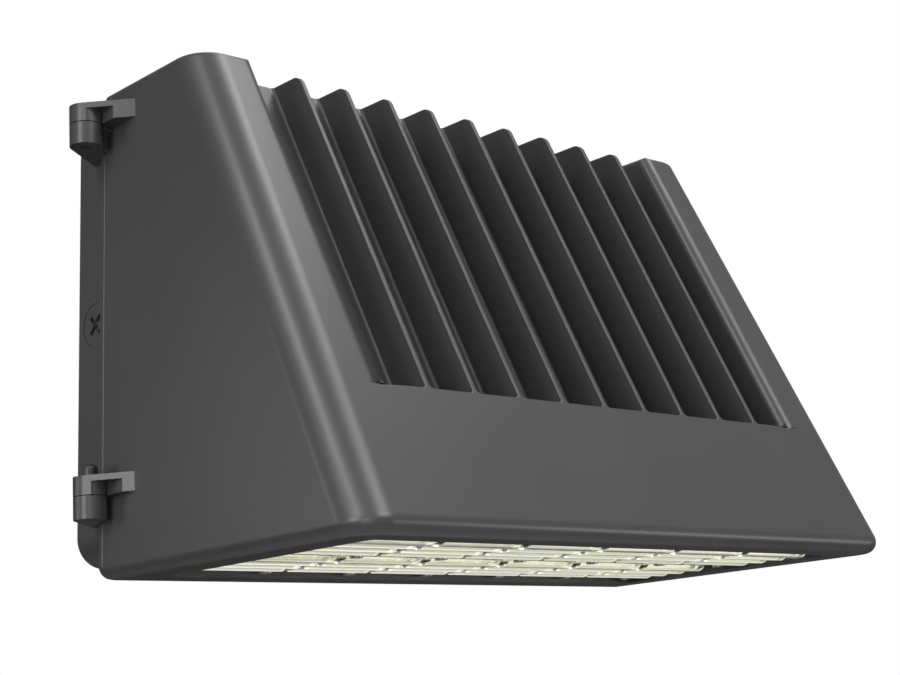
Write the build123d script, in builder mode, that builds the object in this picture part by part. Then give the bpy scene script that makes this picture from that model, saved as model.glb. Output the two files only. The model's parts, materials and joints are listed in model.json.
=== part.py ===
from build123d import *
import math
import os

os.makedirs("parts", exist_ok=True)

# Hinged full cutoff wall pack light. X right, -Y away from the wall, Z up.
# The origin is the middle of the face that sits on the wall.

# ---------------------------------------------------------------- door casting
door_height = 238.0         # bottom edge to the top of the two rails
door_width = 350.0          # across the sides at the bottom of the rear rim
door_depth = 194.3          # rear rim to the bottom front edge
door_top_depth = 78.6       # rear rim to the top front edge
side_lean = 1.25            # degrees, sides lean in towards the top
side_draft = 0.5            # degrees, sides draft in towards the front
wall = 4.0                  # casting wall
corner_round = 17.0         # soft corner between a side and the sloped front
bottom_round = 6.0
top_round = 4.0

# ---------------------------------------------------------------- cooling fins
rail_width = 39.0           # door side to the fin bay, at the bottom
rail_round = 6.0            # rail edge over the fin bay
fin_count = 9
fin_thickness = 2.5
fin_depth = 19.0            # front plane to the floor between fins
ledge_height = 67.5         # bottom edge to the ledge under the fins
bay_drop = 3.3              # fins and floor end this far under the rails
bay_rear_band = 18.0        # full height band left behind the fins
pocket_corner = 2.3
pocket_floor_round = 1.8
fin_edge_round = 0.6
flare_run = 11.0            # ledge edge under a rail fades out this far along the ledge
ledge_corner_round = 2.0    # ledge edge at the foot of a rail
flare_end_round = 1.0
rail_top_round = 3.5        # rail's top edge over the fin bay
rim_edge_round = 1.0        # door edge along the seam

# ---------------------------------------------------------------- back box
box_depth = 34.0            # wall face to the front of the rim
seam_gap = 1.0              # daylight between box rim and door rim
box_side_inset = 7.0        # body sides inside the door outline
box_end_inset = 9.0         # body top and bottom inside the door outline
box_corner = 14.0
box_wall = 3.2
box_floor = 3.5
rim_thickness = 4.0
rim_inset = 0.8             # rim edge inside the door outline
rim_corner = 6.5
rim_edge_soft = 0.8
gasket_width = 4.0
gasket_height = 3.8         # groove floor to the door rim
gasket_fit = 0.2            # gap each side of the gasket in its groove
gasket_edge = 1.0           # rim edge to the groove

# ---------------------------------------------------------------- wall and wiring
bolt_spacing_x = 240.0
bolt_spacing_z = 140.0
bolt_hole_radius = 3.5
junction_spacing = 88.9     # two holes for a wall junction box
junction_hole_radius = 2.4
entry_radius = 11.0         # wire entry in the middle of the back
grommet_bore = 6.0
grommet_lip = 3.0
grommet_lip_thickness = 2.0
plug_radius = 10.6          # half inch conduit plug
plug_play = 0.1
plug_length = 10.0
plug_sink = 0.4             # plug face below the box side
plug_slot_width = 2.6
plug_slot_length = 12.0
plug_slot_depth = 2.2
plug_slot_turns = (45, 135)
plug_height = 126.4         # above the door's bottom edge
plug_from_rim = 19.0        # behind the front of the box rim
hub_wall = 3.4
hub_length = 12.0
hub_over = 2.0              # hole cutter reaches this far out of the box side
ground_x = -70.0
ground_z = -45.0
ground_boss_radius = 5.0
ground_boss_height = 6.0
ground_head_radius = 4.2
ground_head_height = 2.6
ground_shank_radius = 2.0
ground_slot_width = 1.0
ground_slot_depth = 1.3
terminal_x = 75.0
terminal_z = -45.0
terminal_size = (42.0, 20.0, 15.0)
terminal_poles = 3
terminal_screw_radius = 2.2
terminal_well = 3.0          # block face down to the screws
terminal_screw_length = 3.0

# ---------------------------------------------------------------- hinges
pin_outside = 7.5           # pin axis outside the widest side
pin_forward = 3.5           # pin axis forward of the door rim
knuckle_radius = 8.0
arm_height = 9.0
arm_bridge = 2.8            # metal left over the slot in an arm
arm_reach = 28.0            # arm root forward of the door rim
arm_rear = 2.4              # arm's rear edge forward of the pin axis
arm_low_top = 47.1          # lower arm's top above the door's bottom edge
arm_high_drop = 10.3        # upper arm's top under the door's top edge
slot_edges = (4.2, -5.0)    # slot walls from the pin axis, outward and inward
lug_height = 10.6
lug_root = 19.7             # along the box side, back from the rim front
knuckle_gap = 0.4           # thrust gap between arm and lug
pin_radius = 3.0
pin_head_radius = 3.6
pin_head_height = 5.6       # lower pin, the upper one has a flat head
pin_flat_head = 1.2
pin_head_round = 2.5
pin_flat_round = 0.5
pin_play = 0.05

# ---------------------------------------------------------------- closing screws
ear_inset = 43.0            # ears in from the door's bottom and top edges
ear_size = 15.0
ear_thickness = 9.0
screw_radius = 2.5
screw_neck = 1.9
screw_thread_length = 7.0
screw_head_radius = 4.75
screw_head_height = 3.6
screw_head_round = 0.9
screw_socket_radius = 1.7
screw_socket_depth = 2.2
screw_play = 0.1
screw_travel = 8.0
screw_tip_rest = 0.6        # tip short of the ear's back face when let go
ear_lug_depth = 12.0
screw_side_gap = 4.2        # head edge to the door side

# ---------------------------------------------------------------- optics
optic_side = 21.8           # door side to the optic recess, at the bottom
optic_rear = 22.0           # door rim to the optic recess
optic_rim = 23.1            # optic recess to the bottom front edge
optic_recess = 8.0
optic_corner = 4.0
plate_thickness = 4.0
blocks_per_row = 6
screw_line_edge = 5.0       # recess wall to the first screw line
block_gap = 0.5
board_thickness = 1.6
board_edge = 4.0            # board edge inside the lens blocks
lens_flange = 3.2
lens_hollow = 1.4
lens_wall = 1.8
tab_width = 6.5
tab_depth = 6.0
end_screw_inset = 4.4
lens_margin = 0.8           # recess wall to the end blocks
lens_screw_radius = 1.4
lens_screw_head = 3.1
lens_screw_head_height = 1.5
lens_screw_depth = 3.0      # thread inside the plate
lens_screw_play = 0.15
ridge_count = 4             # refractor ridges on one lens block
ridge_width = 12.0
ridge_height = 2.4
ridge_end = 2.5             # block edge to the end of a ridge
chips_per_ridge = 3
chip_size = 3.0
chip_height = 0.7
gasket_margin = 0.5
board_play = 0.3

# ---------------------------------------------------------------- gear in the door
driver_length = 150.0
driver_depth = 52.0
driver_height = 32.0
driver_round = 2.5
driver_forward = 100.0      # driver centre forward of the door rim
driver_x = -30.0
driver_foot = 12.0
driver_foot_width = 24.0
driver_foot_thickness = 2.0
gear_boss_radius = 5.0
gear_boss_height = 5.0
gear_screw_radius = 2.0
gear_screw_head = 3.8
gear_screw_head_height = 2.4
gear_screw_depth = 4.0
surge_size = (40.0, 30.0, 22.0)
surge_x = 95.0
surge_foot = 12.0
inner_screw_play = 0.1

# ---------------------------------------------------------------- derived places
door_back = -(box_depth + seam_gap)
door_bottom = -door_height / 2
door_top = door_height / 2
lean = math.tan(math.radians(side_lean))
draft = math.tan(math.radians(side_draft))
slope = math.atan((door_depth - door_top_depth) / door_height)
bay_half = door_width / 2 - rail_width
fin_pitch = (2 * bay_half + fin_thickness) / (fin_count + 1)
bay_top = door_top - bay_drop
optic_half_width = door_width / 2 - optic_side
optic_front = door_depth - optic_rim
plate_bottom = door_bottom + optic_recess
plate_top = plate_bottom + plate_thickness
pin_x = -(door_width / 2 + pin_outside)
pin_y = door_back - pin_forward


def side_plane(side, inset):
    # plane of one side face, moved inwards
    normal = Vector(side, -draft, lean).normalized()
    corner = Vector(side * door_width / 2, door_back, door_bottom)
    return Plane(origin=corner - normal * inset, z_dir=normal)


def half_width(z, forward=0.0):
    # half the door's width at a height and a distance forward of the rear rim
    return door_width / 2 - lean * (z - door_bottom) - draft * forward


def slope_point(up, behind):
    # (y, z) of a point up the front slope from the ledge and behind the front
    y = door_back - door_depth + math.tan(slope) * ledge_height
    z = door_bottom + ledge_height
    return (y + up * math.sin(slope) + behind * math.cos(slope),
            z + up * math.cos(slope) - behind * math.sin(slope))


def front_y(z, behind=0.0):
    # y of the front plane, or of a plane parallel to it, at a height
    return door_back - door_depth + (z - door_bottom) * math.tan(slope) + behind / math.cos(slope)


def front_axis():
    return Vector(0, -math.cos(slope), math.sin(slope))


def contour(side_inset, end_inset, corner):
    # door outline seen from the front, moved inwards, with round corners
    low, high = door_bottom + end_inset, door_top - end_inset
    low_half, high_half = half_width(low) - side_inset, half_width(high) - side_inset
    with BuildSketch() as shape:
        with BuildLine():
            FilletPolyline((-low_half, low), (low_half, low), (high_half, high), (-high_half, high),
                           radius=corner, close=True)
        make_face()
    return shape.sketch


def knuckle_tangent(x, y, way=-1):
    # where a line from a point of the door's or the box's side touches the hinge knuckle
    distance = math.hypot(x - pin_x, y - pin_y)
    turn = math.atan2(y - pin_y, x - pin_x) + way * math.acos(knuckle_radius / distance)
    return (pin_x + knuckle_radius * math.cos(turn), pin_y + knuckle_radius * math.sin(turn))


def edge_section(radius):
    # what a round edge takes away: X from the pocket into the casting, Y out of the front
    with BuildSketch() as shape:
        with BuildLine():
            Polyline((0, -radius), (0, channel_over), (radius, channel_over), (radius, 0))
            TangentArc((radius, 0), (0, -radius), tangent=(-1, 0))
        make_face()
    return shape.sketch


def save(piece, name):
    piece.part.label = name
    export_step(piece.part, f"parts/{name}.step")


# ================================================================ door casting
# One cooling channel between two fins, cut from the front and open at the top.
channel_length = (door_height - ledge_height) / math.cos(slope) + fin_depth
channel_width = fin_pitch - fin_thickness
channel_over = 2.0          # cutter reaches this far out of the front
ledge_y, ledge_z = slope_point(0, -channel_over)
channel_plane = Plane(origin=(0, ledge_y, ledge_z), x_dir=(1, 0, 0), z_dir=front_axis())
with BuildPart() as channel:
    with BuildSketch(channel_plane):
        with Locations((0, channel_length / 2)):
            Rectangle(channel_width, channel_length)
        fillet(vertices().group_by(Axis.Y)[0], pocket_corner)
    extrude(amount=-(fin_depth + channel_over))
    floor_face = faces().sort_by(Axis((0, 0, 0), tuple(front_axis())))[0]
    fillet(floor_face.edges(), pocket_floor_round)

# The rails have a large round edge along the bay. The ledge edge is rounder at the foot
# of a rail, and fades out both ways.
up_slope = Vector(0, math.sin(slope), math.cos(slope))
flare_end = bay_half - flare_run
ledge_rounds = ((bay_half + rail_round, flare_end_round / 2), (bay_half, ledge_corner_round),
                (flare_end, flare_end_round))
with BuildPart() as rail_flares:
    for side in (-1, 1):
        wall_plane = Plane(origin=(side * bay_half, *slope_point(0, 0)),
                           x_dir=(side, 0, 0), z_dir=up_slope * -side)
        with BuildSketch(wall_plane):
            add(edge_section(rail_round))
        extrude(amount=-side * channel_length)
        top_plane = Plane(origin=(side * bay_half, door_back - bay_rear_band, door_top),
                          x_dir=(side, 0, 0), z_dir=(0, -side, 0))
        with BuildSketch(top_plane):
            add(edge_section(rail_top_round))
        extrude(amount=side * door_depth)
        for ends in (ledge_rounds[:2], ledge_rounds[1:]):
            for place, radius in ends:
                ledge_plane = Plane(origin=(side * place, *slope_point(0, 0)),
                                    x_dir=-up_slope, z_dir=(-1, 0, 0))
                with BuildSketch(ledge_plane):
                    add(edge_section(radius))
            loft()

# Inside of the door: one wall thickness behind every outer face.
with BuildPart() as door_hollow:
    rear = door_back + seam_gap
    with BuildSketch(Plane.YZ):
        with BuildLine():
            Polyline(
                (rear, door_bottom + wall),
                (door_back - optic_rear + wall, door_bottom + wall),
                (door_back - optic_rear + wall, plate_top),
                (front_y(plate_top, wall), plate_top),
                slope_point(-wall, wall),
                slope_point(-wall, fin_depth + wall),
                (front_y(bay_top - wall, fin_depth + wall), bay_top - wall),
                (rear, bay_top - wall),
                close=True,
            )
        make_face()
    extrude(amount=door_width / 2, both=True)
    for side in (-1, 1):
        # behind each rail the hollow runs on to the rail's own front
        with BuildSketch(Plane.YZ.offset(side * (bay_half + wall))):
            with BuildLine():
                Polyline(
                    (rear, plate_top),
                    (front_y(plate_top, wall), plate_top),
                    (front_y(door_top - wall, wall), door_top - wall),
                    (rear, door_top - wall),
                    close=True,
                )
            make_face()
        extrude(amount=side * door_width / 2)
    for side in (-1, 1):
        split(bisect_by=side_plane(side, wall), keep=Keep.BOTTOM)
    hollow_corners = edges().filter_by(
        lambda e: abs(e.center().X) > bay_half + 2 * wall
        and abs(e.center().Y - front_y(e.center().Z, wall)) < 1 / wall
        and abs(e @ 0 - e @ 1) > channel_length
    )
    fillet(hollow_corners, corner_round - wall)

arm_bottoms = [top - arm_height for top in (door_bottom + arm_low_top, door_top - arm_high_drop)]
ear_levels = (door_bottom + ear_inset, door_top - ear_inset)
ear_x = door_width / 2 + screw_side_gap + screw_head_radius

with BuildPart() as door_casting:
    with BuildSketch(Plane.YZ):
        with BuildLine():
            Polyline(
                (door_back, door_bottom),
                (door_back, door_top),
                (front_y(door_top), door_top),
                (front_y(door_bottom), door_bottom),
                close=True,
            )
        make_face()
    extrude(amount=door_width / 2, both=True)
    for side in (-1, 1):
        split(bisect_by=side_plane(side, 0), keep=Keep.BOTTOM)
    front_face = faces().sort_by(Axis.Y)[0]
    fillet(front_face.edges().group_by(Axis.Z)[1], corner_round)
    bottom_edges = faces().sort_by(Axis.Z)[0].edges().sort_by(Axis.Y)[:-1]
    fillet(bottom_edges, bottom_round)
    top_edges = faces().sort_by(Axis.Z)[-1].edges().sort_by(Axis.Y)[:-1]
    fillet(top_edges, top_round)

    # The bay over the fins is lower than the rails.
    tip_y, tip_z = front_y(bay_top), bay_top
    clear = 2 * fin_depth
    with BuildSketch(Plane.YZ):
        with BuildLine():
            Polyline(
                (front_y(tip_z - clear), tip_z - clear),
                (tip_y, tip_z),
                (door_back - bay_rear_band, tip_z),
                (door_back - bay_rear_band, door_top + clear),
                (front_y(tip_z - clear) - clear, door_top + clear),
                (front_y(tip_z - clear) - clear, tip_z - clear),
                close=True,
            )
        make_face()
    extrude(amount=bay_half, both=True, mode=Mode.SUBTRACT)
    with Locations(*[((n - fin_count / 2) * fin_pitch, 0, 0) for n in range(fin_count + 1)]):
        add(channel.part, mode=Mode.SUBTRACT)
    add(rail_flares.part, mode=Mode.SUBTRACT)
    front_face = faces().filter_by(
        lambda f: f.normal_at().dot(front_axis()) > math.cos(draft)).sort_by(SortBy.AREA)[-1]
    mouth_edges = front_face.edges().filter_by(
        lambda e: abs(e.center().X) < flare_end
        and door_bottom + ledge_height - fin_depth < e.center().Z < bay_top - fin_depth
    )
    fillet(mouth_edges, fin_edge_round)
    rear_face = faces().sort_by(Axis.Y)[-1]
    fillet(rear_face.outer_wire().edges(), rim_edge_round)

    add(door_hollow.part, mode=Mode.SUBTRACT)

    # Optic recess in the underside.
    with BuildSketch(Plane.XY.offset(door_bottom)):
        with Locations((0, door_back - (optic_rear + optic_front) / 2)):
            RectangleRounded(2 * optic_half_width, optic_front - optic_rear, optic_corner)
    extrude(amount=optic_recess, mode=Mode.SUBTRACT)

    # Hinge arms on the left: a knuckle, a thin bridge and a root on the side.
    for arm_bottom in arm_bottoms:
        side_x = -half_width(arm_bottom, arm_reach) + wall / 2
        root = door_back - arm_reach
        with BuildSketch(Plane.XY.offset(arm_bottom)):
            with BuildLine():
                Polyline(
                    (side_x, root),
                    (-half_width(arm_bottom, arm_reach), root),
                    knuckle_tangent(-half_width(arm_bottom, arm_reach), root),
                    (pin_x, pin_y),
                    (pin_x, pin_y - arm_rear),
                    (side_x, pin_y - arm_rear),
                    close=True,
                )
            make_face()
        extrude(amount=arm_height)
        with BuildSketch(Plane.XY.offset(arm_bottom)):
            slot_width = slot_edges[0] - slot_edges[1]
            with Locations((pin_x - (slot_edges[0] + slot_edges[1]) / 2, root)):
                Rectangle(slot_width, 2 * (arm_reach - pin_forward))
        extrude(amount=arm_height - arm_bridge, mode=Mode.SUBTRACT)
        with BuildSketch(Plane.XY.offset(arm_bottom)):
            with Locations((pin_x, pin_y)):
                Circle(knuckle_radius)
        extrude(amount=arm_height)
        with BuildSketch(Plane.XY.offset(arm_bottom)):
            with Locations((pin_x, pin_y)):
                Circle(pin_radius + pin_play)
        extrude(amount=arm_height, mode=Mode.SUBTRACT)
    # The arms stop at the inside of the casting wall.
    add(door_hollow.part, mode=Mode.SUBTRACT)

    # Bosses on the lens plate carry the driver and the surge protector.
    driver_y = door_back - driver_forward
    foot_x = (driver_length + driver_foot) / 2
    surge_length, surge_depth, surge_height = surge_size
    surge_foot_x = surge_x + (surge_length + surge_foot) / 2
    foot_spots = [(driver_x - foot_x, driver_y), (driver_x + foot_x, driver_y), (surge_foot_x, driver_y)]
    foot_z = plate_top + gear_boss_height
    with BuildSketch(Plane.XY.offset(plate_top)):
        with Locations(*foot_spots):
            Circle(gear_boss_radius)
    extrude(amount=gear_boss_height)
    with BuildSketch(Plane.XY.offset(foot_z)):
        with Locations(*foot_spots):
            Circle(gear_screw_radius + inner_screw_play)
    extrude(amount=-gear_screw_depth, mode=Mode.SUBTRACT)

    # Ears for the captive closing screws on the right.
    for ear_z in ear_levels:
        inner_x = half_width(ear_z, ear_thickness) - wall / 2
        with BuildSketch(Plane.XZ.offset(-door_back)):
            with Locations(((inner_x + ear_x) / 2, ear_z)):
                Rectangle(ear_x - inner_x, ear_size)
            with Locations((ear_x, ear_z)):
                Circle(ear_size / 2)
        extrude(amount=ear_thickness)
        with BuildSketch(Plane.XZ.offset(-door_back)):
            with Locations((ear_x, ear_z)):
                Circle(screw_radius + screw_play)
        extrude(amount=ear_thickness, mode=Mode.SUBTRACT)


# ================================================================ back box
groove_outer = rim_inset + gasket_edge
groove_inner = groove_outer + gasket_width + 2 * gasket_fit
groove_out = box_depth + seam_gap - gasket_height
rim_out = box_depth - rim_thickness
plug_z = door_bottom + plug_height
plug_out = box_depth - plug_from_rim
side_hub_x = half_width(plug_z) - box_side_inset
bottom_hub_z = door_bottom + box_end_inset
bolt_points = [(x * bolt_spacing_x / 2, z * bolt_spacing_z / 2) for x in (-1, 1) for z in (-1, 1)]
junction_points = [(-junction_spacing / 2, 0), (junction_spacing / 2, 0)]
hub_planes = {
    "left": Plane(origin=(-side_hub_x, -plug_out, plug_z), x_dir=(0, 1, 0), z_dir=(-1, 0, 0)),
    "right": Plane(origin=(side_hub_x, -plug_out, plug_z), x_dir=(0, 1, 0), z_dir=(1, 0, 0)),
    "bottom": Plane(origin=(0, -plug_out, bottom_hub_z), x_dir=(1, 0, 0), z_dir=(0, 0, -1)),
}

with BuildPart() as back_box:
    with BuildSketch(Plane.XZ):
        add(contour(box_side_inset, box_end_inset, box_corner))
    extrude(amount=rim_out)
    with BuildSketch(Plane.XZ.offset(rim_out)):
        add(contour(rim_inset, rim_inset, rim_corner))
    extrude(amount=rim_thickness)
    rim_faces = faces().filter_by(Axis.Y).sort_by(Axis.Y)
    fillet(rim_faces[0].outer_wire().edges() + rim_faces[1].outer_wire().edges(), rim_edge_soft)
    # wiring room
    with BuildSketch(Plane.XZ.offset(box_floor)):
        add(contour(box_side_inset + box_wall, box_end_inset + box_wall, box_corner - box_wall))
    extrude(amount=box_depth, mode=Mode.SUBTRACT)
    # conduit hubs, round walls inside the side openings
    for plane in hub_planes.values():
        with BuildSketch(plane):
            with Locations((0, 0)):
                Circle(plug_radius + plug_play + hub_wall)
        extrude(amount=-hub_length)
    for plane in hub_planes.values():
        with BuildSketch(plane.offset(hub_over)):
            with Locations((0, 0)):
                Circle(plug_radius + plug_play)
        extrude(amount=-(hub_over + hub_length + box_wall), mode=Mode.SUBTRACT)
    # ground screw boss
    with BuildSketch(Plane.XZ.offset(box_floor)):
        with Locations((ground_x, ground_z)):
            Circle(ground_boss_radius)
    extrude(amount=ground_boss_height)
    with BuildSketch(Plane.XZ.offset(box_floor)):
        with Locations((ground_x, ground_z)):
            Circle(ground_shank_radius + inner_screw_play)
    extrude(amount=ground_boss_height, mode=Mode.SUBTRACT)
    # holes through the back
    for spots, radius in ((bolt_points, bolt_hole_radius), (junction_points, junction_hole_radius),
                          ([(0, 0)], entry_radius)):
        with BuildSketch(Plane.XZ):
            with Locations(*spots):
                Circle(radius)
        extrude(amount=box_floor, mode=Mode.SUBTRACT)

    # Hinge lugs stand under the door's arms.
    for arm_bottom in arm_bottoms:
        lug_top = arm_bottom - knuckle_gap
        clear_x = -half_width(lug_top - lug_height) - knuckle_gap
        root = (-half_width(lug_top) + box_side_inset, lug_root - box_depth)
        body_x = root[0] + box_wall / 2
        with BuildSketch(Plane.XY.offset(lug_top - lug_height)):
            with Locations((pin_x, pin_y)):
                Circle(knuckle_radius)
            with BuildLine():
                Polyline(
                    (pin_x, pin_y),
                    knuckle_tangent(*root, way=1),
                    root,
                    (body_x, root[1]),
                    (body_x, -box_depth),
                    (clear_x, -box_depth),
                    (clear_x, pin_y),
                    close=True,
                )
            make_face()
        extrude(amount=lug_height)
        with BuildSketch(Plane.XY.offset(lug_top)):
            with Locations((pin_x, pin_y)):
                Circle(pin_radius + pin_play)
        extrude(amount=-lug_height, mode=Mode.SUBTRACT)

    # Lugs behind the door's ears take the closing screws.
    for ear_z in ear_levels:
        inner_x = half_width(ear_z) - box_side_inset - box_wall / 2
        with BuildSketch(Plane.XZ.offset(box_depth)):
            with Locations(((inner_x + ear_x) / 2, ear_z)):
                Rectangle(ear_x - inner_x, ear_size)
            with Locations((ear_x, ear_z)):
                Circle(ear_size / 2)
        extrude(amount=-ear_lug_depth)
        with BuildSketch(Plane.XZ.offset(box_depth)):
            with Locations((ear_x, ear_z)):
                Circle(screw_radius + screw_play)
        extrude(amount=-ear_lug_depth, mode=Mode.SUBTRACT)

    # gasket groove
    with BuildSketch(Plane.XZ.offset(groove_out)):
        add(contour(groove_outer, groove_outer, rim_corner - gasket_edge))
        add(contour(groove_inner, groove_inner, gasket_edge), mode=Mode.SUBTRACT)
    extrude(amount=gasket_height, mode=Mode.SUBTRACT)
save(back_box, "back_box")

with BuildPart() as box_gasket:
    with BuildSketch(Plane.XZ.offset(groove_out)):
        add(contour(groove_outer + gasket_fit, groove_outer + gasket_fit, rim_corner - gasket_edge))
        add(contour(groove_inner - gasket_fit, groove_inner - gasket_fit, gasket_edge), mode=Mode.SUBTRACT)
    extrude(amount=gasket_height)
save(box_gasket, "box_gasket")

# Conduit plugs with a cross slot, one in each side hub.
for side_name, plane in hub_planes.items():
    with BuildPart() as conduit_plug:
        with BuildSketch(plane.offset(-plug_sink)):
            Circle(plug_radius)
        extrude(amount=-plug_length)
        with BuildSketch(plane.offset(-plug_sink)):
            for turn in plug_slot_turns:
                Rectangle(plug_slot_length, plug_slot_width, rotation=turn)
        extrude(amount=-plug_slot_depth, mode=Mode.SUBTRACT)
    save(conduit_plug, f"conduit_plug_{side_name}")

# Rubber grommet in the wire entry.
with BuildPart() as wire_grommet:
    with BuildSketch(Plane.XZ.offset(box_floor)):
        Circle(entry_radius + grommet_lip)
    extrude(amount=grommet_lip_thickness)
    with BuildSketch(Plane.XZ):
        Circle(entry_radius)
    extrude(amount=box_floor)
    with BuildSketch(Plane.XZ):
        Circle(grommet_bore)
    extrude(amount=box_floor + grommet_lip_thickness, mode=Mode.SUBTRACT)
save(wire_grommet, "wire_grommet")

with BuildPart() as ground_screw:
    ground_face = box_floor + ground_boss_height
    with BuildSketch(Plane.XZ.offset(ground_face)):
        with Locations((ground_x, ground_z)):
            Circle(ground_head_radius)
    extrude(amount=ground_head_height)
    with BuildSketch(Plane.XZ.offset(ground_face)):
        with Locations((ground_x, ground_z)):
            Circle(ground_shank_radius)
    extrude(amount=-ground_boss_height)
    with BuildSketch(Plane.XZ.offset(ground_face + ground_head_height)):
        with Locations((ground_x, ground_z)):
            Rectangle(2 * ground_head_radius, ground_slot_width)
    extrude(amount=-ground_slot_depth, mode=Mode.SUBTRACT)
save(ground_screw, "ground_screw")

# Terminal block for the supply wires, open wells over its clamping screws.
terminal_length, terminal_height, terminal_depth = terminal_size
pole_pitch = terminal_length / terminal_poles
terminal_screw_out = terminal_well + terminal_screw_length
pole_points = [(terminal_x + (n - (terminal_poles - 1) / 2) * pole_pitch, terminal_z)
               for n in range(terminal_poles)]
with BuildPart() as terminal_block:
    with BuildSketch(Plane.XZ.offset(box_floor)):
        with Locations((terminal_x, terminal_z)):
            Rectangle(terminal_length, terminal_height)
    extrude(amount=terminal_depth)
    terminal_face = box_floor + terminal_depth
    with BuildSketch(Plane.XZ.offset(terminal_face)):
        with Locations(*pole_points):
            Circle(terminal_screw_radius + inner_screw_play)
    extrude(amount=-terminal_screw_out, mode=Mode.SUBTRACT)
save(terminal_block, "terminal_block")

with BuildPart() as terminal_screws:
    with BuildSketch(Plane.XZ.offset(terminal_face - terminal_screw_out)):
        with Locations(*pole_points):
            Circle(terminal_screw_radius)
    extrude(amount=terminal_screw_length)
save(terminal_screws, "terminal_screws")

# ================================================================ hinge pins
pin_heads = ((pin_head_height, pin_head_round), (pin_flat_head, pin_flat_round))
for level, arm_bottom, (head_height, head_round) in zip(("lower", "upper"), arm_bottoms, pin_heads):
    arm_top = arm_bottom + arm_height
    foot = arm_bottom - knuckle_gap - lug_height
    with BuildPart() as hinge_pin:
        with BuildSketch(Plane.XY.offset(foot)):
            with Locations((pin_x, pin_y)):
                Circle(pin_radius)
        extrude(amount=arm_top + knuckle_gap - foot)
        with BuildSketch(Plane.XY.offset(arm_top + knuckle_gap)):
            with Locations((pin_x, pin_y)):
                Circle(pin_head_radius)
        extrude(amount=head_height)
        fillet(edges().group_by(Axis.Z)[-1], head_round)
    save(hinge_pin, f"hinge_pin_{level}")

# ================================================================ closing screws
# They stand let go of the box, as far out of the ears as they come.
for level, ear_z in zip(("lower", "upper"), ear_levels):
    tip_out = -door_back + screw_tip_rest
    head_out = -door_back + ear_thickness + screw_travel
    with BuildPart() as closing_screw:
        with BuildSketch(Plane.XZ.offset(tip_out)):
            with Locations((ear_x, ear_z)):
                Circle(screw_radius)
        extrude(amount=screw_thread_length)
        with BuildSketch(Plane.XZ.offset(tip_out)):
            with Locations((ear_x, ear_z)):
                Circle(screw_neck)
        extrude(amount=head_out - tip_out)
        with BuildSketch(Plane.XZ.offset(head_out)):
            with Locations((ear_x, ear_z)):
                Circle(screw_head_radius)
        extrude(amount=screw_head_height)
        fillet(edges().group_by(Axis.Y)[0], screw_head_round)
        with BuildSketch(Plane.XZ.offset(head_out + screw_head_height)):
            with Locations((ear_x, ear_z)):
                RegularPolygon(screw_socket_radius, 6)
        extrude(amount=-screw_socket_depth, mode=Mode.SUBTRACT)
    save(closing_screw, f"closing_screw_{level}")

# ================================================================ optics
# Three lines of screws clamp two rows of lens blocks to the plate.
board_bottom = plate_bottom - board_thickness
flange_bottom = board_bottom - lens_flange
rear_line = door_back - optic_rear - screw_line_edge
front_line = door_back - optic_front + screw_line_edge
middle_line = (rear_line + front_line) / 2
row_pitch = (rear_line - front_line) / 2
block_pitch = 2 * (optic_half_width - lens_margin) / blocks_per_row
block_width = block_pitch - block_gap
block_depth = row_pitch - 2 * tab_depth
rows = {"rear": (rear_line + middle_line) / 2, "front": (front_line + middle_line) / 2}
joint_xs = [(n - blocks_per_row / 2) * block_pitch for n in range(blocks_per_row + 1)]
end_x = optic_half_width - end_screw_inset
lens_screw_points = [(max(-end_x, min(end_x, x)), y)
                     for y in (rear_line, middle_line, front_line) for x in joint_xs]
board_length = 2 * (optic_half_width - lens_margin - board_edge)
board_depth = block_depth - 2 * board_edge
ridge_pitch = (block_depth - 2 * board_edge) / ridge_count
ridge_rise = [(n - (ridge_count - 1) / 2) * ridge_pitch for n in range(ridge_count)]

# Holes for the lens screws in the underside plate.
with BuildPart() as lens_screw_holes:
    with BuildSketch(Plane.XY.offset(plate_bottom)):
        with Locations(*lens_screw_points):
            Circle(lens_screw_radius + lens_screw_play)
    extrude(amount=lens_screw_depth)
door_casting.part = door_casting.part - lens_screw_holes.part

with BuildPart() as lens_gasket:
    with BuildSketch(Plane.XY.offset(board_bottom)):
        with Locations((0, middle_line)):
            RectangleRounded(2 * (optic_half_width - gasket_margin),
                             2 * (row_pitch + screw_line_edge - gasket_margin), optic_corner)
        with Locations(*[(0, y) for y in rows.values()]):
            Rectangle(board_length + 2 * board_play, board_depth + 2 * board_play, mode=Mode.SUBTRACT)
        with Locations(*lens_screw_points):
            Circle(lens_screw_radius + lens_screw_play, mode=Mode.SUBTRACT)
    extrude(amount=board_thickness)
save(lens_gasket, "lens_gasket")

for row, row_y in rows.items():
    with BuildPart() as led_board:
        with BuildSketch(Plane.XY.offset(board_bottom)):
            with Locations((0, row_y)):
                Rectangle(board_length, board_depth)
        extrude(amount=board_thickness)
    save(led_board, f"led_board_{row}")

block_xs = [(n - (blocks_per_row - 1) / 2) * block_pitch for n in range(blocks_per_row)]
chip_pitch = (block_width - 2 * ridge_end) / chips_per_ridge
chip_points = [
    (x + (c - (chips_per_ridge - 1) / 2) * chip_pitch, y + rise)
    for y in rows.values() for x in block_xs for rise in ridge_rise for c in range(chips_per_ridge)
]
with BuildPart() as led_chips:
    with BuildSketch(Plane.XY.offset(board_bottom)):
        with Locations(*chip_points):
            Rectangle(chip_size, chip_size)
    extrude(amount=-chip_height)
save(led_chips, "led_chips")

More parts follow.
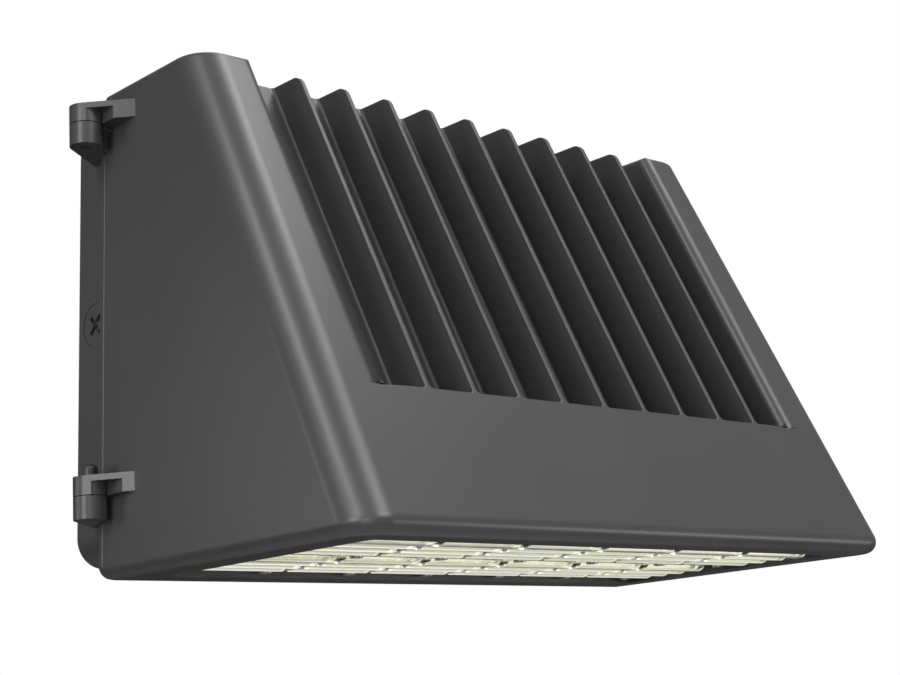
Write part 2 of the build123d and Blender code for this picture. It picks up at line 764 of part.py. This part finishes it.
# Clear lens block: a shallow tray with refractor ridges and four screw tabs.
for row, row_y in rows.items():
    for number, block_x in enumerate(block_xs, 1):
        with BuildPart() as lens_block:
            with BuildSketch(Plane.XY.offset(flange_bottom)):
                with Locations((block_x, row_y)):
                    Rectangle(block_width, block_depth)
                    with GridLocations(block_width - tab_width, block_depth + tab_depth, 2, 2):
                        Rectangle(tab_width, tab_depth)
                with Locations(*lens_screw_points):
                    Circle(lens_screw_radius + lens_screw_play, mode=Mode.SUBTRACT)
            extrude(amount=lens_flange)
            with BuildSketch(Plane.XY.offset(board_bottom)):
                with Locations((block_x, row_y)):
                    Rectangle(block_width - 2 * lens_wall, block_depth - 2 * lens_wall)
            extrude(amount=-lens_hollow, mode=Mode.SUBTRACT)
            for rise in ridge_rise:
                with BuildSketch(Plane.YZ.offset(block_x - block_width / 2 + ridge_end)):
                    with BuildLine():
                        near = (row_y + rise - ridge_width / 2, flange_bottom)
                        far = (row_y + rise + ridge_width / 2, flange_bottom)
                        ThreePointArc(near, (row_y + rise, flange_bottom - ridge_height), far)
                        Line(far, near)
                    make_face()
                extrude(amount=block_width - 2 * ridge_end)
        save(lens_block, f"lens_{row}_{number}")

with BuildPart() as lens_screws:
    with BuildSketch(Plane.XY.offset(flange_bottom)):
        with Locations(*lens_screw_points):
            Circle(lens_screw_head)
    extrude(amount=-lens_screw_head_height)
    with BuildSketch(Plane.XY.offset(flange_bottom)):
        with Locations(*lens_screw_points):
            Circle(lens_screw_radius)
    extrude(amount=lens_flange + board_thickness + lens_screw_depth - lens_screw_play)
save(lens_screws, "lens_screws")
save(door_casting, "door_casting")

# ================================================================ gear in the door
with BuildPart() as led_driver:
    with BuildSketch(Plane.XY.offset(foot_z)):
        with Locations((driver_x, driver_y)):
            RectangleRounded(driver_length, driver_depth, driver_round)
    extrude(amount=driver_height)
    with BuildSketch(Plane.XY.offset(foot_z)):
        with Locations((driver_x, driver_y)):
            Rectangle(driver_length + 2 * driver_foot, driver_foot_width)
        with Locations(*foot_spots):
            Circle(gear_screw_radius + inner_screw_play, mode=Mode.SUBTRACT)
    extrude(amount=driver_foot_thickness)
save(led_driver, "led_driver")

with BuildPart() as surge_protector:
    with BuildSketch(Plane.XY.offset(foot_z)):
        with Locations((surge_x, driver_y)):
            RectangleRounded(surge_length, surge_depth, driver_round)
    extrude(amount=surge_height)
    with BuildSketch(Plane.XY.offset(foot_z)):
        with Locations((surge_foot_x - surge_foot / 2, driver_y)):
            Rectangle(2 * surge_foot, surge_foot)
        with Locations(*foot_spots):
            Circle(gear_screw_radius + inner_screw_play, mode=Mode.SUBTRACT)
    extrude(amount=driver_foot_thickness)
save(surge_protector, "surge_protector")

with BuildPart() as gear_screws:
    foot_top = foot_z + driver_foot_thickness
    with BuildSketch(Plane.XY.offset(foot_top)):
        with Locations(*foot_spots):
            Circle(gear_screw_head)
    extrude(amount=gear_screw_head_height)
    with BuildSketch(Plane.XY.offset(foot_top)):
        with Locations(*foot_spots):
            Circle(gear_screw_radius)
    extrude(amount=-(driver_foot_thickness + gear_screw_depth - inner_screw_play))
save(gear_screws, "gear_screws")
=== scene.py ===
import json
import math
import bmesh
import bpy
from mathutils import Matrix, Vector


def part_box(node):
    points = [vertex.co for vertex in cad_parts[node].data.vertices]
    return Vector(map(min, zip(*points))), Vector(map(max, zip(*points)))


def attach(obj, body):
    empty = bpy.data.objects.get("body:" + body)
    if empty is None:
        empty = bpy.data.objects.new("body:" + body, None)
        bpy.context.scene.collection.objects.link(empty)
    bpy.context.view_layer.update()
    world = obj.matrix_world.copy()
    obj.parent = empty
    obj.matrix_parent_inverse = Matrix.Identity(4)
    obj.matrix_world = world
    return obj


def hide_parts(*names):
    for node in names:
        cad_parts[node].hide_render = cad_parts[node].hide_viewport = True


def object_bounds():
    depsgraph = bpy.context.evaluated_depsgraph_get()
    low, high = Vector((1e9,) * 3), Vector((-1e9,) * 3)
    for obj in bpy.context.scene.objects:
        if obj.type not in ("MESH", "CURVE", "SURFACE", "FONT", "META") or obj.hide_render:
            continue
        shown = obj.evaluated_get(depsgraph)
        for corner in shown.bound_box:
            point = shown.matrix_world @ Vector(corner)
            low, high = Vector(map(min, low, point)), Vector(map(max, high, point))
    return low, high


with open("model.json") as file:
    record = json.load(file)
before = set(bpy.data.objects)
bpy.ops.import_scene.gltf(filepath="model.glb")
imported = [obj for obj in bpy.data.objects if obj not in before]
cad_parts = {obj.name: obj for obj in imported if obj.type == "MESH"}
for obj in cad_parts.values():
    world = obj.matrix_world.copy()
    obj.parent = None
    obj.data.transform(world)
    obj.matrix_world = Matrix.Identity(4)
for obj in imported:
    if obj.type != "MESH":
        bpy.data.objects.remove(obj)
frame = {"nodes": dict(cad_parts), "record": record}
nodes = frame["nodes"]
cadLow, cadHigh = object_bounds()
print("model loaded:", len(nodes), "nodes")


# ---- shader writing: a socket that can be used in sums, and one method that adds a node
class Signal:
    def __init__(self, wiring, socket):
        self.wiring = wiring
        self.socket = socket

    def maths(self, operation, first, second):
        return self.wiring.add("ShaderNodeMath", {"operation": operation}, {0: first, 1: second})

    def __add__(self, other):
        return self.maths("ADD", self, other)

    def __radd__(self, other):
        return self.maths("ADD", other, self)

    def __sub__(self, other):
        return self.maths("SUBTRACT", self, other)

    def __rsub__(self, other):
        return self.maths("SUBTRACT", other, self)

    def __mul__(self, other):
        return self.maths("MULTIPLY", self, other)

    def __rmul__(self, other):
        return self.maths("MULTIPLY", other, self)


class Wiring:
    def __init__(self, tree):
        self.tree = tree

    def add(self, kind, settings=None, sockets=None, out=None):
        node = self.tree.nodes.new(kind)
        for key, value in (settings or {}).items():
            if key == "stops":
                ramp = node.color_ramp.elements
                while len(ramp) < len(value):
                    ramp.new(1.0)
                for stop, (place, colour) in zip(ramp, value):
                    stop.position = place
                    stop.color = (*colour, 1)
            else:
                setattr(node, key, value)
        for key, value in (sockets or {}).items():
            if isinstance(key, int):
                socket = node.inputs[key]
            else:
                socket = next(s for s in node.inputs if s.name == key and s.enabled)
            self.feed(socket, value)
        ready = [s for s in node.outputs if s.enabled and out in (None, s.name)]
        return Signal(self, ready[0])

    def feed(self, socket, value):
        if isinstance(value, Signal):
            self.tree.links.new(value.socket, socket)
        elif socket.type == "RGBA":
            socket.default_value = (*value, 1)
        else:
            socket.default_value = value


class Finish(Wiring):
    def __init__(self, name, fixed):
        self.material = bpy.data.materials.new(name)
        self.material.use_nodes = True
        super().__init__(self.material.node_tree)
        self.shader = self.tree.nodes["Principled BSDF"]
        for socket, value in fixed.items():
            self.set(socket, value)

    def set(self, name, value):
        self.feed(self.shader.inputs[name], value)

    def place(self, stretch=None):
        # place on the piece, in metres, with each direction stretched if asked
        spot = self.add("ShaderNodeTexCoord", out="Object")
        if stretch is None:
            return spot
        return self.add("ShaderNodeVectorMath", {"operation": "MULTIPLY"}, {0: spot, 1: stretch})

    def along(self, axis):
        return self.add("ShaderNodeSeparateXYZ", None, {0: self.place()}, axis)

    def noise(self, scale, detail=2.0, stretch=None):
        return self.add("ShaderNodeTexNoise", None,
                        {"Vector": self.place(stretch), "Scale": scale, "Detail": detail})

    def blend(self, factor, first, second):
        return self.add("ShaderNodeMix", {"data_type": "RGBA"},
                        {"Factor": factor, "A": first, "B": second}, "Result")

    def spread(self, signal, low, high):
        # brings the stretch from low to high out to 0 and 1
        return self.add("ShaderNodeMapRange", None, {"Value": signal, "From Min": low, "From Max": high})

    def rough(self, signal, limits):
        low, high = limits
        self.set("Roughness", low + signal * (high - low))

    def bump(self, height, size):
        self.set("Normal", self.add("ShaderNodeBump", None, {"Height": height, **size}))


# ---- camera, floor and studio lights
view = {
    "place": (-0.60386, -0.75905, -0.19354),
    "turn": (102.33, 3.139, -41.392),      # degrees
    "lens": 71.136,
    "sensor": 36.0,
}


def makeCamera():
    data = bpy.data.cameras.new("camera")
    data.lens = view["lens"]
    data.sensor_width = view["sensor"]
    camera = bpy.data.objects.new("camera", data)
    camera.location = view["place"]
    camera.rotation_euler = [math.radians(a) for a in view["turn"]]
    bpy.context.scene.collection.objects.link(camera)
    bpy.context.scene.camera = camera


studio = {
    "floorDrop": 1.7,            # floor under the lowest point of the light
    "floorSize": 5.0,
    "floorPaper": {"Base Color": (0.86, 0.86, 0.85), "Roughness": 0.8},
    "white": (1.0, 1.0, 1.0),
    "backdropStrength": 1.0,     # what the camera sees behind the light
    "roomStrength": 0.22,        # what lights the piece
    "roomLean": (0.02, -0.24, 0.22),    # the room is brighter in front and above
}
softboxes = {                    # metres and watts
    "upperRight": {"place": (0.49, -0.77, 1.62), "size": (0.7, 0.7), "power": 10.0},
    "upperLeft": {"place": (-1.35, -0.55, 1.15), "size": (0.4, 0.6), "power": 9.0},
    "overhead": {"place": (0.6, -0.1, 1.6), "size": (1.6, 0.6), "power": 7.0},
    "frontTop": {"place": (0.1, -1.7, 1.3), "size": (0.9, 0.5), "power": 18.0},
    "left": {"place": (-1.6, -0.42, 0.25), "size": (0.3, 0.8), "power": 10.0},
    "nearLeft": {"place": (-0.58, -0.6, -0.1), "size": (0.15, 0.4), "power": 0.8},
    "behindLeft": {"place": (-0.93, 0.45, 0.02), "size": (0.3, 0.4), "power": 1.2},
    "lowRight": {"place": (1.2, -1.3, -0.4), "size": (0.7, 0.3), "power": 4.0},
}


def makeFloor():
    half = studio["floorSize"] / 2
    z = cadLow.z - studio["floorDrop"]
    corners = [(-half, -half, z), (half, -half, z), (half, half, z), (-half, half, z)]
    mesh = bpy.data.meshes.new("floor")
    mesh.from_pydata(corners, [], [(0, 1, 2, 3)])
    mesh.materials.append(Finish("floorPaper", studio["floorPaper"]).material)
    floor = bpy.data.objects.new("floor", mesh)
    bpy.context.scene.collection.objects.link(floor)


def makeBackdrop():
    # the camera sees white paper, the piece is lit by a dimmer room
    world = bpy.data.worlds.new("studio")
    world.use_nodes = True
    sky = Wiring(world.node_tree)
    direction = sky.add("ShaderNodeTexCoord", out="Generated")
    lean = sky.add("ShaderNodeVectorMath", {"operation": "DOT_PRODUCT"},
                   {0: direction, 1: studio["roomLean"]}, "Value")
    level = sky.add("ShaderNodeMath", {"operation": "ADD", "use_clamp": True},
                    {0: lean, 1: studio["roomStrength"]})
    room = sky.add("ShaderNodeBackground", None, {"Color": studio["white"], "Strength": level})
    paper = sky.add("ShaderNodeBackground", None,
                    {"Color": studio["white"], "Strength": studio["backdropStrength"]})
    seen = sky.add("ShaderNodeLightPath", out="Is Camera Ray")
    mix = sky.add("ShaderNodeMixShader", None, {0: seen, 1: room, 2: paper})
    sky.feed(world.node_tree.nodes["World Output"].inputs["Surface"], mix)
    bpy.context.scene.world = world
    bpy.context.scene.view_settings.view_transform = "Standard"


def makeSoftboxes():
    middle = (cadLow + cadHigh) / 2
    for name, box in softboxes.items():
        data = bpy.data.lights.new(name, "AREA")
        data.shape = "RECTANGLE"
        data.size, data.size_y = box["size"]
        data.energy = box["power"]
        lamp = bpy.data.objects.new(name, data)
        lamp.location = box["place"]
        lamp.rotation_euler = (middle - Vector(box["place"])).to_track_quat("-Z", "Y").to_euler()
        lamp.visible_camera = False
        bpy.context.scene.collection.objects.link(lamp)


makeCamera()
makeFloor()
makeBackdrop()
makeSoftboxes()
print("camera and studio are set")


# ---- door casting: a copy of its mesh, with the fin tips rounded
finTips = {
    "radius": 0.007,
    "steps": 8,                  # flats around the round
    "halfWidth": 0.122,          # from the middle of the bay, so that the rails keep their corners
    "underRails": 0.0035,        # the tips are no further than this below the top of the rails
    "reach": 0.012,              # from the sharp tip
    "still": 0.5,                # share of the radius inside which nothing moves
    "weld": 1e-6,
    "onPlane": 1e-7,
    "slope": {"y": -0.5, "z": 0.3},     # a face of the sloped front leans at least this much
    "sharpAbove": 30.0,          # degrees, edges that stay sharp in the shading
    "faceWeight": 100,           # large flat faces rule the shading beside the rounds
}


def findTip(mesh):
    # the sharp tip of the fins, and the angle that its round takes
    slope = finTips["slope"]
    high = max(v.co.z for v in mesh.vertices) - finTips["underRails"]
    middle = [v.co for v in mesh.vertices if abs(v.co.x) < finTips["halfWidth"] and v.co.z > high]
    tip = min(middle, key=lambda spot: spot.y)
    sloped = [f for f in mesh.polygons if f.normal.y < slope["y"] and f.normal.z > slope["z"]]
    front = max(sloped, key=lambda face: face.area)
    return tip.copy(), math.atan2(-front.normal.y, front.normal.z)


def roundTips(mesh):
    tip, turn = findTip(mesh)
    radius = finTips["radius"]
    still = radius * finTips["still"]
    centre = Vector((0, tip.y + radius * math.tan(turn / 2), tip.z - radius))
    shape = bmesh.new()
    shape.from_mesh(mesh)
    bmesh.ops.remove_doubles(shape, verts=shape.verts, dist=finTips["weld"])

    def near(spot):
        across = abs(spot.x) < finTips["halfWidth"]
        return across and math.hypot(spot.y - tip.y, spot.z - tip.z) < finTips["reach"]

    for step in range(finTips["steps"] + 1):        # cuts like spokes from the centre of the round
        angle = turn * step / finTips["steps"]
        faces = [f for f in shape.faces if any(near(v.co) for v in f.verts)]
        edges = {e for f in faces for e in f.edges}
        verts = {v for f in faces for v in f.verts}
        bmesh.ops.bisect_plane(shape, geom=[*verts, *edges, *faces], dist=finTips["onPlane"],
                               plane_co=centre, plane_no=(0, math.cos(angle), math.sin(angle)))
    for vert in shape.verts:                        # draws the sharp tip in to the round
        if not near(vert.co):
            continue
        back, up = vert.co.y - centre.y, vert.co.z - centre.z
        angle = math.atan2(-back, up)
        away = math.hypot(back, up)
        if 0 < angle < turn and away > still:
            edge = radius / math.cos(min(angle, turn - angle))
            new = still + (away - still) * (radius - still) / (edge - still)
            vert.co.y = centre.y + back * new / away
            vert.co.z = centre.z + up * new / away
    shape.to_mesh(mesh)
    shape.free()


def makeCasting():
    mesh = nodes["door_casting"].data.copy()
    mesh.name = "doorCasting"
    roundTips(mesh)
    if "custom_normal" in mesh.attributes:          # the stored normals belong to the sharp tips
        mesh.attributes.remove(mesh.attributes["custom_normal"])
    mesh.shade_smooth()
    mesh.set_sharp_from_angle(angle=math.radians(finTips["sharpAbove"]))
    piece = bpy.data.objects.new("doorCasting", mesh)
    bpy.context.scene.collection.objects.link(piece)
    weights = piece.modifiers.new("faceWeights", "WEIGHTED_NORMAL")
    weights.keep_sharp = True
    weights.weight = finTips["faceWeight"]
    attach(piece, "door")
    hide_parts("door_casting")
    return piece


casting = makeCasting()
print("door casting:", len(casting.data.polygons), "faces")


# ---- finishes: noise scales are per metre, bump distances in metres
contrast = {"soft": (0.3, 0.7), "firm": (0.35, 0.65)}      # stretch of a noise that is brought out

powder = {
    "fixed": {"IOR": 1.5},
    "dark": (0.037, 0.037, 0.0375),
    "light": (0.044, 0.044, 0.0445),
    "clouds": 14.0,              # slow change of tone
    "cloudShare": 0.6,
    "peel": 700.0,
    "peelShare": 0.7,
    "grain": 2600.0,
    "roughness": (0.33, 0.41),
    "bump": {"Strength": 0.35, "Distance": 0.000025},
}


def powderCoat():
    finish = Finish("powderCoat", powder["fixed"])
    clouds = finish.spread(finish.noise(powder["clouds"]), *contrast["firm"])
    grain = finish.noise(powder["grain"], detail=1.0)
    peel = finish.noise(powder["peel"])
    tone = clouds * powder["cloudShare"] + grain * (1 - powder["cloudShare"])
    finish.set("Base Color", finish.blend(tone, powder["dark"], powder["light"]))
    finish.rough(finish.spread(grain, *contrast["soft"]), powder["roughness"])
    finish.bump(peel * powder["peelShare"] + grain * (1 - powder["peelShare"]), powder["bump"])
    return finish.material


steel = {
    "fixed": {"Metallic": 1.0},
    "bright": (0.62, 0.62, 0.60),
    "dull": (0.42, 0.42, 0.41),
    "spots": 260.0,
    "spotShare": 0.6,
    "brush": (60.0, 60.0, 2400.0),
    "roughness": (0.24, 0.42),
    "bump": {"Strength": 0.2, "Distance": 0.00003},
}


def zincPlate():
    finish = Finish("zincPlate", steel["fixed"])
    lines = finish.noise(1.0, detail=3.0, stretch=steel["brush"])
    spots = finish.spread(finish.noise(steel["spots"]), *contrast["firm"])
    tone = spots * steel["spotShare"] + lines * (1 - steel["spotShare"])
    finish.set("Base Color", finish.blend(tone, steel["dull"], steel["bright"]))
    finish.rough(spots, steel["roughness"])
    finish.bump(lines, steel["bump"])
    return finish.material


blacked = {
    "fixed": {"Metallic": 0.7},
    "dark": (0.030, 0.030, 0.033),
    "light": (0.060, 0.060, 0.064),
    "spots": 320.0,
    "grain": 1400.0,
    "roughness": (0.34, 0.50),
    "bump": {"Strength": 0.25, "Distance": 0.00004},
}


def blackOxide():
    finish = Finish("blackOxide", blacked["fixed"])
    spots = finish.spread(finish.noise(blacked["spots"]), *contrast["firm"])
    finish.set("Base Color", finish.blend(spots, blacked["dark"], blacked["light"]))
    finish.rough(spots, blacked["roughness"])
    finish.bump(finish.noise(blacked["grain"]), blacked["bump"])
    return finish.material


rubber = {
    "fixed": {"IOR": 1.5},
    "dark": (0.012, 0.012, 0.013),
    "light": (0.022, 0.022, 0.023),
    "grain": 1800.0,
    "roughness": (0.62, 0.77),
    "bump": {"Strength": 0.4, "Distance": 0.00008},
}


def sealRubber():
    finish = Finish("sealRubber", rubber["fixed"])
    grain = finish.noise(rubber["grain"])
    finish.set("Base Color", finish.blend(grain, rubber["dark"], rubber["light"]))
    finish.rough(grain, rubber["roughness"])
    finish.bump(grain, rubber["bump"])
    return finish.material


green = {
    "fixed": {"IOR": 1.5, "Metallic": 0.4},
    "dark": (0.03, 0.20, 0.06),
    "light": (0.06, 0.33, 0.11),
    "spots": 420.0,
    "grain": 1500.0,
    "roughness": (0.30, 0.42),
    "bump": {"Strength": 0.2, "Distance": 0.00004},
}


def groundGreen():
    finish = Finish("groundGreen", green["fixed"])
    spots = finish.spread(finish.noise(green["spots"]), *contrast["soft"])
    finish.set("Base Color", finish.blend(spots, green["dark"], green["light"]))
    finish.rough(spots, green["roughness"])
    finish.bump(finish.noise(green["grain"]), green["bump"])
    return finish.material


nylon = {
    "fixed": {"IOR": 1.53, "Subsurface Weight": 0.1},
    "dark": (0.58, 0.56, 0.50),
    "light": (0.72, 0.70, 0.65),
    "haze": 90.0,
    "grain": 1600.0,
    "roughness": (0.44, 0.58),
    "bump": {"Strength": 0.25, "Distance": 0.00005},
}


def terminalNylon():
    finish = Finish("terminalNylon", nylon["fixed"])
    haze = finish.spread(finish.noise(nylon["haze"], detail=3.0), *contrast["soft"])
    grain = finish.noise(nylon["grain"])
    finish.set("Base Color", finish.blend(haze, nylon["dark"], nylon["light"]))
    finish.rough(grain, nylon["roughness"])
    finish.bump(grain, nylon["bump"])
    return finish.material


board = {
    # the board glows with painted light, though it is no lamp
    "fixed": {"IOR": 1.5, "Emission Strength": 0.35},
    "mask": (0.80, 0.80, 0.77),
    "tint": (0.74, 0.75, 0.68),
    "haze": 120.0,
    "grain": 900.0,
    "roughness": (0.36, 0.48),
    "bump": {"Strength": 0.15, "Distance": 0.00004},
}


def boardWhiteGlow():
    finish = Finish("boardWhiteGlow", board["fixed"])
    haze = finish.spread(finish.noise(board["haze"], detail=3.0), *contrast["soft"])
    colour = finish.blend(haze, board["mask"], board["tint"])
    finish.set("Base Color", colour)
    # the board's own colour is also used for its painted glow
    finish.set("Emission Color", colour)
    finish.rough(haze, board["roughness"])
    finish.bump(finish.noise(board["grain"]), board["bump"])
    return finish.material


chip = {
    "fixed": {"IOR": 1.45, "Emission Strength": 1.4},
    "rim": (0.88, 0.90, 0.36),
    "middle": (0.92, 0.90, 0.20),
    "cloud": 700.0,
    "roughness": (0.25, 0.40),
}


def chipPhosphor():
    finish = Finish("chipPhosphor", chip["fixed"])
    cloud = finish.spread(finish.noise(chip["cloud"]), *contrast["soft"])
    colour = finish.blend(cloud, chip["rim"], chip["middle"])
    finish.set("Base Color", colour)
    finish.set("Emission Color", colour)
    finish.rough(cloud, chip["roughness"])
    return finish.material


lens = {
    # the lens glows with painted light, though it is no lamp
    "fixed": {"Transmission Weight": 1.0, "IOR": 1.49, "Emission Strength": 0.7},
    "flow": (30.0, 260.0, 30.0),   # moulding flow lines, along the ridges
    "pitch": 0.0141,               # from ridge to ridge
    "waver": 0.03,                 # share of the pitch by which the painted light and dark lines follow the flow lines
    "paintedRidgeLight": [                     # painted highlight and painted shade lines that one ridge shows, from its rear edge
        (0.00, (1.00, 1.00, 0.99)),
        (0.36, (1.00, 1.00, 0.95)),
        (0.44, (0.90, 0.92, 0.60)),
        (0.66, (0.96, 0.97, 0.78)),
        (0.72, (0.20, 0.19, 0.18)),
        (0.88, (0.14, 0.13, 0.13)),
        (0.94, (1.00, 1.00, 0.99)),
    ],
    "paintedGlowCrest": 0.0016,               # the painted glow shows only on the lowest part of a ridge
    "unlit": (0.0, 0.0, 0.0),
    "roughness": (0.06, 0.11),
    "bump": {"Strength": 0.25, "Distance": 0.00015},
}


def lensAcrylicGlow():
    finish = Finish("lensAcrylicGlow", lens["fixed"])
    flow = finish.spread(finish.noise(1.0, detail=3.0, stretch=lens["flow"]), *contrast["soft"])
    ridges = finish.along("Y") * (1 / lens["pitch"]) + flow * lens["waver"]
    onRidge = finish.add("ShaderNodeMath", {"operation": "FRACT"}, {0: ridges})
    paintedRidgeLight = finish.add("ShaderNodeValToRGB", {"stops": lens["paintedRidgeLight"]}, {0: onRidge})
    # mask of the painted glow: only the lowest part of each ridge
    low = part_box("lens_rear_1")[0].z
    paintedGlowCrest = 1 - finish.spread(finish.along("Z"), low, low + lens["paintedGlowCrest"])
    # painted highlight and shade lines colour the lens, and the painted glow uses them on the lowest
    # part of each ridge
    finish.set("Base Color", paintedRidgeLight)
    finish.set("Emission Color", finish.blend(paintedGlowCrest, lens["unlit"], paintedRidgeLight))
    finish.rough(flow, lens["roughness"])
    finish.bump(flow, lens["bump"])
    return finish.material


case = {
    "fixed": {"Metallic": 0.9},
    "bright": (0.66, 0.67, 0.68),
    "dull": (0.50, 0.51, 0.52),
    "brush": (8.0, 900.0, 900.0),
    "roughness": (0.34, 0.50),
    "bump": {"Strength": 0.2, "Distance": 0.00004},
}


def driverCase():
    finish = Finish("driverCase", case["fixed"])
    lines = finish.noise(1.0, detail=3.0, stretch=case["brush"])
    finish.set("Base Color", finish.blend(lines, case["dull"], case["bright"]))
    finish.rough(lines, case["roughness"])
    finish.bump(lines, case["bump"])
    return finish.material


potting = {
    "fixed": {"IOR": 1.5},
    "dark": (0.018, 0.020, 0.026),
    "light": (0.034, 0.037, 0.046),
    "grain": 1300.0,
    "roughness": (0.40, 0.60),
    "bump": {"Strength": 0.35, "Distance": 0.00008},
}


def surgeCase():
    finish = Finish("surgeCase", potting["fixed"])
    grain = finish.noise(potting["grain"])
    finish.set("Base Color", finish.blend(grain, potting["dark"], potting["light"]))
    finish.rough(grain, potting["roughness"])
    finish.bump(grain, potting["bump"])
    return finish.material


wear = {                         # what each slot of the record wears
    "housing_paint": powderCoat,
    "seal_rubber": sealRubber,
    "plated_steel": zincPlate,
    "black_steel": blackOxide,
    "ground_green": groundGreen,
    "terminal_nylon": terminalNylon,
    "board_white": boardWhiteGlow,
    "chip_phosphor": chipPhosphor,
    "lens_clear": lensAcrylicGlow,
    "driver_case": driverCase,
    "surge_case": surgeCase,
}


def dressNodes():
    slotOf = {part["node"]: part["material_slot"] for part in frame["record"]["subparts"]}
    made = {slot: make() for slot, make in wear.items()}
    for name, piece in nodes.items():
        piece.data.materials.clear()
        piece.data.materials.append(made[slotOf[name]])
    casting.data.materials.clear()
    casting.data.materials.append(made["housing_paint"])


dressNodes()
print("finishes on", len(nodes), "nodes")
